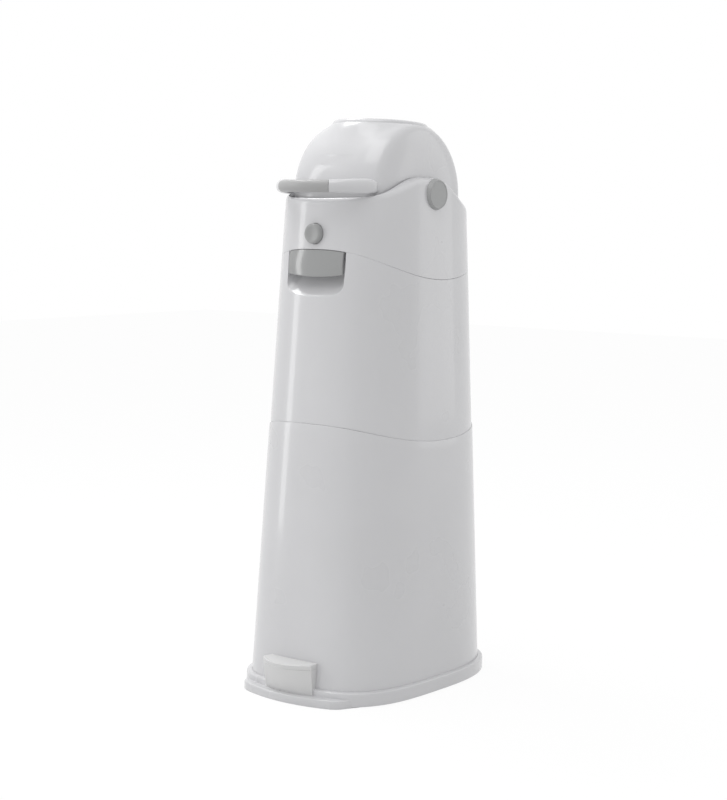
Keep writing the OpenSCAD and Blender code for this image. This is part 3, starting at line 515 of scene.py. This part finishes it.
cap = curve([(0.0981, 0.0), (0.0981, 0.012), (0.0981, 0.016)], 8).tolist()
cap += curve([(0.0982, 0.0162), (0.0985, 0.0166), (0.09858, 0.0171), (0.0984, 0.0176), (0.0979, 0.018),
              (0.0958, 0.0190), (0.0938, 0.0197), (0.0932, 0.02), (0.0928, 0.0200)], 48).tolist()
cap += [(0.0926, 0.0185), (0.088, 0.0185), (0.088, 0.0165), (0.092, 0.0165), (0.092, 0.0)]
disc_grey = plastic("disc_moulded", (166, 167, 167), 0.38, coat=0.06, grain=0.04)
for side in ("left", "right"):
    disc = mould(side + "_hub_cap", turned(cap, "x", hub, flip=side == "left"), crease=40)
    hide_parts(side + "_hub_disc")
    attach(disc, "head")
    disc.data.materials.append(disc_grey)


# Release button: a round grey cap in the casing's front with a dished face,
# on a stem that tips the latch.

front_reach = 0.1534 - 0.0404 * button_height / 0.59
face = body_middle - front_reach - 0.007
dish = curve([(0.0015, 0.0), (0.00143, 0.002), (0.0011, 0.0045), (0.0005, 0.007), (0.0001, 0.0085),
              (0.0, 0.0096)], 28).tolist()
rim_round = 0.0026
dish += [(rim_round - rim_round * math.cos(a), 0.0099 + rim_round * math.sin(a))
         for a in np.linspace(0.1, math.pi / 2, 9)]
dish += [(-0.1032 - face, 0.0125), (-0.1032 - face, 0.0109), (0.0034, 0.0109), (0.0034, 0.006),
         (-0.0978 - face, 0.006), (-0.0968 - face, 0.0)]
release_button = mould("release_button_cap", turned(dish, "y", (0, face, button_height)), crease=40)
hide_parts("release_button")
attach(release_button, "button")
release_button.data.materials.append(disc_grey)


# Drum: a white barrel that lies across the head, with a short flared neck
# above and below for its two mouths. Barrel and necks flow into each other,
# and a straight tube for the chamber passes through.

def soft_least(a, b, reach):
    """The smaller of two distances, rounded off where they come within a reach of each other."""
    near = np.clip(reach - np.abs(a - b), 0, None) / reach
    return np.minimum(a, b) - reach / 4 * near ** 2


def side_face(r):
    """Half width of the drum at a radius: flat in the middle, then leaning in by a power of the radius."""
    return 0.0745 - 0.0063 * (np.clip(r - 0.03, 0, None) / 0.054) ** 3.4


def outside_drum(x, y, z):
    """Positive outside the drum: crowned barrel and flared necks, joined softly, between leaning side faces."""
    x, r = np.abs(x), np.hypot(y, z)
    barrel = r - (0.096 - 0.0105 * (x / 0.0682) ** 3.2)
    rise = np.clip((np.abs(z) - 0.044) / 0.042, 0, 1)
    neck = np.hypot(x, y) - (0.0614 + 0.0232 * (1 - rise) ** 0.78)
    both = soft_least(barrel, neck, 0.006)
    return np.maximum(-soft_least(-both, side_face(r) - x, 0.006), np.abs(z) - 0.086)


def reach_along(outside):
    """How far out the drum reaches along each direction, found by halving."""
    near, far = 0.0 * outside(0.0), 0.16 + 0.0 * outside(0.0)
    for _ in range(40):
        middle = (near + far) / 2
        out = outside(middle) > 0
        near, far = np.where(out, near, middle), np.where(out, middle, far)
    return near


drum_turns = np.linspace(0, 2 * math.pi, 360, endpoint=False)
ct, st = np.cos(drum_turns), np.sin(drum_turns)
mouth_edge = reach_along(lambda r: outside_drum(r * ct, r * st, np.full_like(ct, 0.08599)))
steps = np.linspace(0, 1, 110)[:, None] ** 0.8
lean = np.arctan2(mouth_edge, 0.086) + (math.pi / 2 - np.arctan2(mouth_edge, 0.086)) * steps
out, up = np.sin(lean), np.cos(lean)
far = reach_along(lambda r: outside_drum(r * out * ct, r * out * st, r * up))
half = np.stack([far * out * ct, far * out * st, far * up], axis=-1)
lid = [np.stack([r * ct, r * st, np.full_like(ct, 0.086)], axis=-1) for r in (0.0586, 0.0598)]
upper_half = np.concatenate([rows_of(*lid), half])
lower_half = upper_half[::-1] * [1, 1, -1]
tilt = math.radians(3.2)


def in_drum(points):
    """Moves points from the drum's own frame to where it rests, tilted about its axis."""
    x, y, z = np.moveaxis(np.asarray(points, float), -1, 0)
    level, upright = y * math.cos(tilt) + z * math.sin(tilt), z * math.cos(tilt) - y * math.sin(tilt)
    return np.stack([x, level, upright], -1) + hub


drum_shell = mould("drum_barrel", in_drum(np.concatenate([upper_half, lower_half[1:], upper_half[:1]])), crease=38)
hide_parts("drum_shell")
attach(drum_shell, "drum")
drum_shell.data.materials.append(white_gloss)

for sign, name in ((1, "upper"), (-1, "lower")):
    brow = curve([(0.086, 0.0614), (0.0878, 0.0608), (0.0894, 0.0598), (0.0905, 0.0585), (0.091, 0.057)], 24)
    bend = np.linspace(math.pi / 2, math.pi, 9)[:, None]
    lining = np.array([0.0895, 0.0569]) + 0.0015 * np.concatenate([np.sin(bend), np.cos(bend)], axis=1)
    ring = np.concatenate([[(0.086, 0.0554)], brow, lining, [(0.086, 0.0554)]])
    height, radius = ring.T[..., None]
    grid = np.stack([radius * ct, radius * st, sign * height + 0 * ct], axis=-1)
    mouth = mould(name + "_mouth_rim", in_drum(grid), crease=50)
    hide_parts(name + "_mouth_ring")
    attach(mouth, "drum")
    mouth.data.materials.append(white_gloss)


# Handle: a white hoop that runs out of the drum's two front corners and meets
# in front, with a grey soft-feel grip moulded over its middle.

hoop_turns = np.radians(np.linspace(0, 360, 48, endpoint=False))
hoop_half, hoop_depth, hoop_root = 0.067, 0.069, 0.083
drum_corner = 0.084


def hoop_ring(turn, run=0.0, grow=0.0):
    """A section of the hoop: an ellipse square to its path, half an ellipse seen from above.

    It flares towards the drum by swell, tapers into it by nose, and stays inside the drum's side faces.
    """
    across, along = hoop_half * math.sin(turn), -hoop_root - hoop_depth * math.cos(turn)
    out = np.array([hoop_depth * math.sin(turn), -hoop_half * math.cos(turn)])
    out /= np.linalg.norm(out)
    swell = min(max((abs(math.degrees(turn)) - 33) / 42, 0), 1)
    nose = (1 - min(max((along + run + 0.112) / 0.032, 0), 0.999) ** 2.6) ** 0.6
    deep, tall = 0.0065 + grow, 0.0075 + grow
    c, s = np.cos(hoop_turns), np.sin(hoop_turns)
    x = across + (deep + 0.002 * swell * (c < 0)) * c * out[0]
    y = along + run + deep * c * out[1]
    flare = swell * np.where(s < 0, 0.0032, 0.0006)
    z = 0.0019 - 0.0018 * math.cos(turn) ** 2 - (tall + flare) * nose * s
    r = np.hypot(y, z)
    beside = np.clip((r - drum_corner) / 0.014, 0, 1)
    side = side_face(np.minimum(r, drum_corner)) - 0.0004 + 0.0065 * (3 - 2 * beside) * beside ** 2
    return np.stack([np.sign(x) * soft_least(np.abs(x), side, 0.002), y, z], axis=-1)


grip = math.radians(33)
arms = [hoop_ring(-math.pi / 2, run) for run in (0.016, 0.008)]
arms += [hoop_ring(t) for t in np.linspace(-math.pi / 2, -grip - 0.004, 60)]
arms += [hoop_ring(-grip - 0.002, 0, -0.0003), hoop_ring(-grip, 0, -0.0022)]
core = [hoop_ring(t, 0, -0.0022) for t in np.linspace(-grip, grip, 60)[1:-1]]
far_arm = [hoop_ring(grip, 0, -0.0022), hoop_ring(grip + 0.002, 0, -0.0003)]
far_arm += [hoop_ring(t) for t in np.linspace(grip + 0.004, math.pi / 2, 60)]
far_arm += [hoop_ring(math.pi / 2, run) for run in (0.008, 0.016)]
handle = rows_of(*arms, *core, *far_arm)
ends = [to_middle(handle[k], handle[k].mean(axis=0)) for k in (0, -1)]
handle_frame = mould("handle_hoop", in_drum(np.concatenate([ends[0][::-1], handle, ends[1]])), crease=45)
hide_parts("handle_frame")
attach(handle_frame, "drum")
handle_frame.data.materials.append(white_gloss)

rise = np.linspace(0, math.pi / 2, 6)
under_grip, end_round = -0.0021, 0.0009
sleeve = [hoop_ring(-grip, 0, under_grip)]
sleeve += [hoop_ring(-grip + 0.01 * (1 - math.cos(a)), 0, 0.0001 - end_round * (1 - math.sin(a))) for a in rise]
sleeve += [hoop_ring(t, 0, 0.0001) for t in np.linspace(-grip + 0.012, grip - 0.012, 60)]
sleeve += [hoop_ring(grip - 0.01 * (1 - math.cos(a)), 0, 0.0001 - end_round * (1 - math.sin(a)))
           for a in rise[::-1]]
sleeve += [hoop_ring(t, 0, under_grip) for t in np.linspace(grip, -grip, 60)]
handle_grip = mould("handle_grip_sleeve", in_drum(rows_of(*sleeve)), crease=45)
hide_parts("handle_grip")
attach(handle_grip, "drum")
grip_grey = plastic("grip_moulded", (173, 173, 173), 0.4, coat=0.05, grain=0.05)
handle_grip.data.materials.append(grip_grey)


# Small parts that stay as the CAD made them: bearings, latch, hinge, screws,
# seals, cradle, sleeve and piston. Each takes its finish here.

inner_white = plastic("white_inside", (208, 208, 210), 0.38, coat=0.1)
soft_rubber = plastic("black_rubber", (52, 52, 54), 0.7, grain=0.2, tone=0.06, texture=700.0)
plated = plastic("plated_steel", (186, 188, 192), 0.28, grain=0.06, tone=0.03, texture=1500.0)
plated.node_tree.nodes["Principled BSDF"].inputs["Metallic"].default_value = 1.0
finishes = {"white_shell": inner_white, "pale_plastic": lightened_white, "grey_plastic": satin_grey,
            "rubber": soft_rubber, "steel": plated}
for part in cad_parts.values():
    for place in part.material_slots:
        if place.material and place.material.name.split(".")[0] in finishes:
            place.material = finishes[place.material.name.split(".")[0]]


# Photograph's stand: a plain white floor that fades into the background, soft
# lamps and the camera.

floor_mesh = bpy.data.meshes.new("floor")
floor_mesh.from_pydata([(-6, -6, 0), (6, -6, 0), (6, 6, 0), (-6, 6, 0)], [], [(0, 1, 2, 3)])
floor = bpy.data.objects.new("floor", floor_mesh)
bpy.context.scene.collection.objects.link(floor)
floor_paint = bpy.data.materials.new("floor_white")
floor_paint.use_nodes = True
nodes, links = floor_paint.node_tree.nodes, floor_paint.node_tree.links
shader = nodes["Principled BSDF"]
shader.inputs["Base Color"].default_value = (0.8, 0.8, 0.8, 1)
shader.inputs["Roughness"].default_value = 0.9
glow = nodes.new("ShaderNodeEmission")
glow.inputs["Color"].default_value = (1, 1, 1, 1)
glow.inputs["Strength"].default_value = 1.03


def looking_rays(nodes, links):
    """The largest of three marks: 1 for a ray from the camera, off a glossy surface or through glass."""
    path = nodes.new("ShaderNodeLightPath")
    either = nodes.new("ShaderNodeMath")
    either.operation = "MAXIMUM"
    any_of = nodes.new("ShaderNodeMath")
    any_of.operation = "MAXIMUM"
    links.new(path.outputs["Is Camera Ray"], either.inputs[0])
    links.new(path.outputs["Is Glossy Ray"], either.inputs[1])
    links.new(either.outputs["Value"], any_of.inputs[0])
    links.new(path.outputs["Is Transmission Ray"], any_of.inputs[1])
    return any_of.outputs["Value"]


seen = nodes.new("ShaderNodeMath")
seen.operation = "MULTIPLY"
seen.inputs[1].default_value = 0.9
mix = nodes.new("ShaderNodeMixShader")
links.new(looking_rays(nodes, links), seen.inputs[0])
links.new(seen.outputs["Value"], mix.inputs["Fac"])
links.new(shader.outputs["BSDF"], mix.inputs[1])
links.new(glow.outputs["Emission"], mix.inputs[2])
links.new(mix.outputs["Shader"], nodes["Material Output"].inputs["Surface"])
floor_mesh.materials.append(floor_paint)

world = bpy.data.worlds.new("studio")
bpy.context.scene.world = world
world.use_nodes = True
nodes, links = world.node_tree.nodes, world.node_tree.links
plain = nodes["Background"]
plain.inputs["Color"].default_value = (1, 1, 1, 1)
plain.inputs["Strength"].default_value = 0.64
bright = nodes.new("ShaderNodeBackground")
bright.inputs["Color"].default_value = (1, 1, 1, 1)
bright.inputs["Strength"].default_value = 1.0
mix = nodes.new("ShaderNodeMixShader")
links.new(looking_rays(nodes, links), mix.inputs["Fac"])
links.new(plain.outputs["Background"], mix.inputs[1])
links.new(bright.outputs["Background"], mix.inputs[2])
links.new(mix.outputs["Shader"], nodes["World Output"].inputs["Surface"])


def lamp(name, place, aim, width, height, power):
    """A soft box that faces a point."""
    light = bpy.data.lights.new(name, "AREA")
    light.shape, light.size, light.size_y, light.energy = "RECTANGLE", width, height, power
    body = bpy.data.objects.new(name, light)
    body.location = place
    direction = Vector(aim) - Vector(place)
    body.rotation_euler = direction.to_track_quat("-Z", "Y").to_euler()
    bpy.context.scene.collection.objects.link(body)


lamp("overhead", (0.1, -0.9, 2.6), (0, 0, 0.4), 1.6, 1.6, 13)
lamp("strip_left", (-1.85, -1.5, 0.9), (0, 0, 0.45), 0.32, 2.2, 8.5)
lamp("high_left", (-1.15, 0.1, 2.35), (0, 0, 0.7), 0.8, 0.7, 13)
lamp("right_rear", (1.5, 2.1, 1.0), (0, 0, 0.4), 1.0, 1.8, 4)

turn, dip, roll = math.radians(38.62), math.radians(6.1), math.radians(0.51)
ahead = Vector((-math.sin(turn) * math.cos(dip), math.cos(turn) * math.cos(dip), -math.sin(dip)))
right = Vector((math.cos(turn), math.sin(turn), 0))
up = right.cross(ahead)
right, up = math.cos(roll) * right + math.sin(roll) * up, -math.sin(roll) * right + math.cos(roll) * up
camera = bpy.data.objects.new("camera", bpy.data.cameras.new("camera"))
sensor, focal_pixels, picture_height = 36, 1790, 800
camera.data.sensor_width, camera.data.lens = sensor, focal_pixels / picture_height * sensor
distance, eye_level, spot = 2.3, 0.608, math.radians(38.38)
camera.matrix_world = Matrix(((right.x, up.x, -ahead.x, distance * math.sin(spot)),
                              (right.y, up.y, -ahead.y, -distance * math.cos(spot) + body_middle),
                              (right.z, up.z, -ahead.z, eye_level), (0, 0, 0, 1)))
bpy.context.scene.collection.objects.link(camera)
bpy.context.scene.camera = camera
bpy.context.scene.view_settings.view_transform = "Standard"
